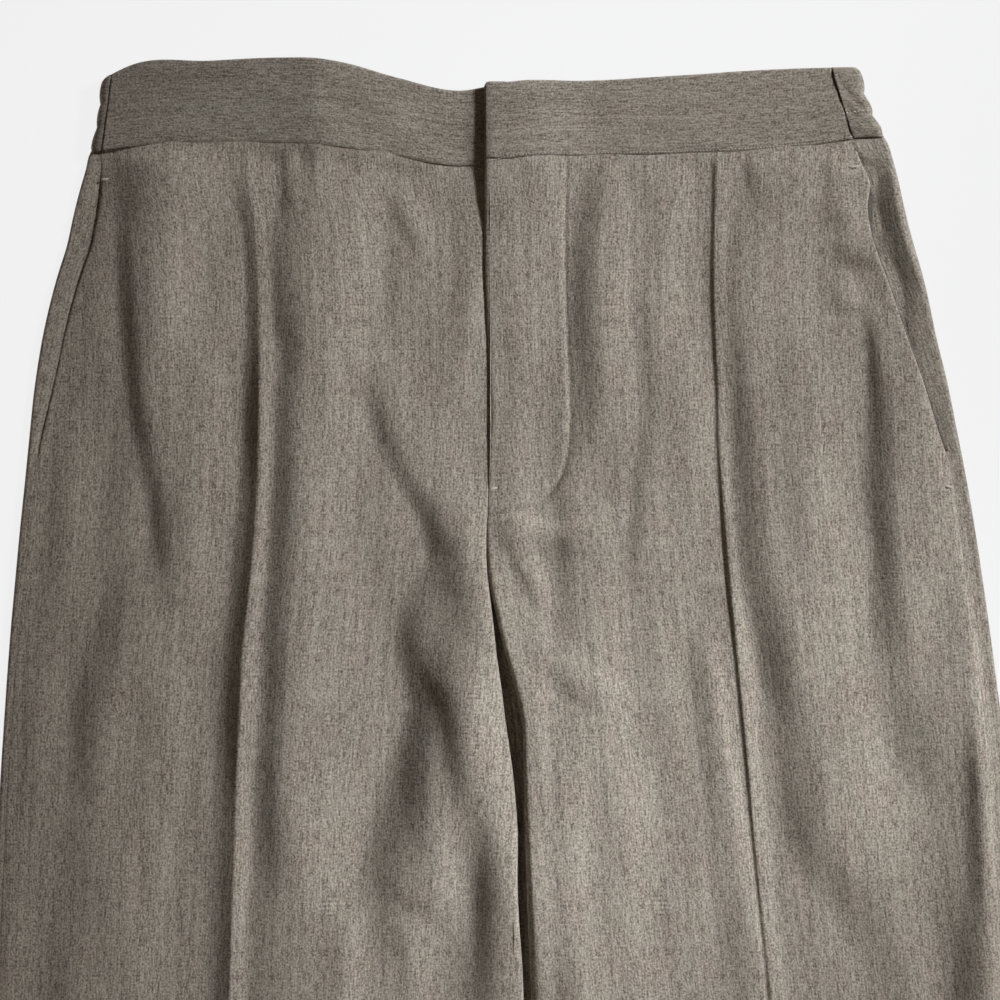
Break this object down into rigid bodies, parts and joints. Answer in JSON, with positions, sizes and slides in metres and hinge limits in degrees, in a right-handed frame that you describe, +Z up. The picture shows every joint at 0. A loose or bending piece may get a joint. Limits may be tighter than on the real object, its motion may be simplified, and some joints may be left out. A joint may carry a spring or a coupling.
{
  "type": "joggers laid flat",
  "caption": "Wide straight-leg wool joggers laid flat, front up, with a plain front waistband, elastic back, fly, pintucks and side pockets.",
  "frame": {"origin": "on the surface that the garment lies on, under the middle of its bounding box", "axes": "+X to the wearer's left, +Y from the hems to the waist along the length, +Z up out of the front"},
  "size_m": [0.5576, 1.0176, 0.0158],
  "materials": {
    "wool_cloth": "fine melange wool, taupe grey, matt with a soft nap",
    "band_cloth": "the same wool with its grain across the band",
    "facing_cloth": "the same wool inside the pocket mouth"
  },
  "bodies": {
    "root": {"front_right": "wool_cloth", "front_left": "wool_cloth", "back_right": "wool_cloth", "back_left": "wool_cloth", "waistband_front_right": "band_cloth", "waistband_front_left": "band_cloth", "waistband_back": "band_cloth", "pocket_facing_right": "facing_cloth", "pocket_facing_left": "facing_cloth"}
  },
  "joints": []
}
